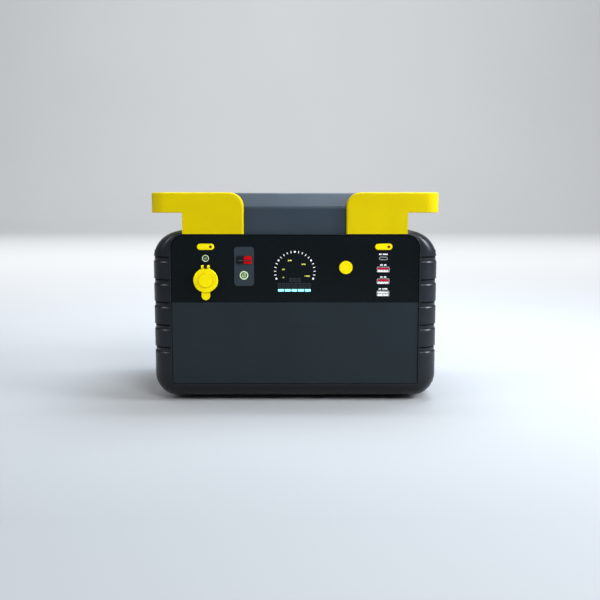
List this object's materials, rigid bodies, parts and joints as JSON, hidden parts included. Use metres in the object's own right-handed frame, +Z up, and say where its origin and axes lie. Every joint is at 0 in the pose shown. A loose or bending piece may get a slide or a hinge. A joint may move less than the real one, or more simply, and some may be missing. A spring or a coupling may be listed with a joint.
{
  "type": "portable power station",
  "caption": "Battery power station in a ribbed dark housing with a glossy front control panel, capped car socket, push buttons, power ports and two fixed side handles.",
  "frame": {"origin": "on the ground, under the middle of the housing", "axes": "+X to the right seen from the front, +Y from the front panel to the back, +Z up"},
  "size_m": [0.298, 0.1972, 0.2188],
  "materials": {
    "bumper": "fine matt texture",
    "gloss_black": "gloss",
    "slate": "satin",
    "handle_yellow": "satin",
    "button_yellow": "satin",
    "foot_rubber": "matt",
    "connector_black": "satin",
    "connector_red": "satin",
    "nickel": "bright",
    "brass": "satin",
    "jack_ring": "satin",
    "tongue_red": "satin",
    "tongue_white": "satin",
    "display": "gloss",
    "lamp_red": "gloss",
    "steel": "zinc plated",
    "cell_wrap": "shrink wrap",
    "circuit_board": "satin",
    "sheet_metal": "brushed",
    "ferrite": "matt",
    "winding": "gloss",
    "capacitor": "gloss",
    "lead_red": "satin",
    "lead_black": "satin"
  },
  "bodies": {
    "housing": {"ac_outlet_contacts": "brass", "ac_outlets": "connector_black", "back_panel": "slate", "battery_cells": "cell_wrap", "battery_lead_black": "lead_black", "battery_lead_red": "lead_red", "button_switches": "connector_black", "capacitors": "capacitor", "car_socket_barrel": "nickel", "car_socket_bezel": "connector_black", "car_socket_contact": "brass", "car_socket_nut": "connector_black", "cell_holders": "connector_black", "cell_links": "nickel", "charge_jack": "jack_ring", "control_board": "circuit_board", "control_panel": "gloss_black", "dc_output_jack": "jack_ring", "deck_plate": "sheet_metal", "display_module": "display", "fan_frame": "connector_black", "fan_grille": "connector_black", "fan_screws": "steel", "front_shell": "bumper", "handle_screws": "steel", "heatsink": "sheet_metal", "housing_screws": "steel", "input_plate": "slate", "inverter_board": "circuit_board", "jack_pins": "nickel", "left_handle": "handle_yellow", "lower_panel": "slate", "management_board": "circuit_board", "power_pole_black": "connector_black", "power_pole_contacts": "nickel", "power_pole_red": "connector_red", "rear_shell": "bumper", "right_handle": "handle_yellow", "rubber_feet": "foot_rubber", "top_cover": "slate", "transformer_core": "ferrite", "transformer_winding": "winding", "usb_a_shell_1": "nickel", "usb_a_shell_2": "nickel", "usb_a_shell_3": "nickel", "usb_a_tongue_1": "tongue_red", "usb_a_tongue_2": "tongue_red", "usb_a_tongue_3": "tongue_white", "usb_c_shell": "nickel", "usb_c_tongue": "connector_black"},
    "socket_cap": {"car_socket_cap": "button_yellow", "cap_hinge_pin": "steel"},
    "dc_switch": {"dc_button": "button_yellow", "dc_button_lamp": "lamp_red"},
    "usb_switch": {"usb_button": "button_yellow", "usb_button_lamp": "lamp_red"},
    "power_switch": {"power_button": "button_yellow"},
    "ac_switch": {"ac_button": "button_yellow", "ac_button_lamp": "lamp_red"},
    "rotor": {"fan_rotor": "connector_black"}
  },
  "joints": [
    {"name": "cap_hinge", "type": "hinge", "parent": "housing", "child": "socket_cap", "pos_m": [-0.0922, -0.0979, 0.1426], "axis": [-1, 0, 0], "range_deg": [0, 120]},
    {"name": "dc_push", "type": "slide", "parent": "housing", "child": "dc_switch", "axis": [0, 1, 0], "range_m": [0, 0.0008], "stiffness_N_per_m": 1500},
    {"name": "usb_push", "type": "slide", "parent": "housing", "child": "usb_switch", "axis": [0, 1, 0], "range_m": [0, 0.0008], "stiffness_N_per_m": 1500},
    {"name": "power_push", "type": "slide", "parent": "housing", "child": "power_switch", "axis": [0, 1, 0], "range_m": [0, 0.0008], "stiffness_N_per_m": 1500},
    {"name": "ac_push", "type": "slide", "parent": "housing", "child": "ac_switch", "axis": [0, -1, 0], "range_m": [0, 0.0008], "stiffness_N_per_m": 1500},
    {"name": "fan_spin", "type": "hinge", "parent": "housing", "child": "rotor", "pos_m": [0.066, 0.085, 0.118], "axis": [0, 1, 0], "continuous": true}
  ]
}
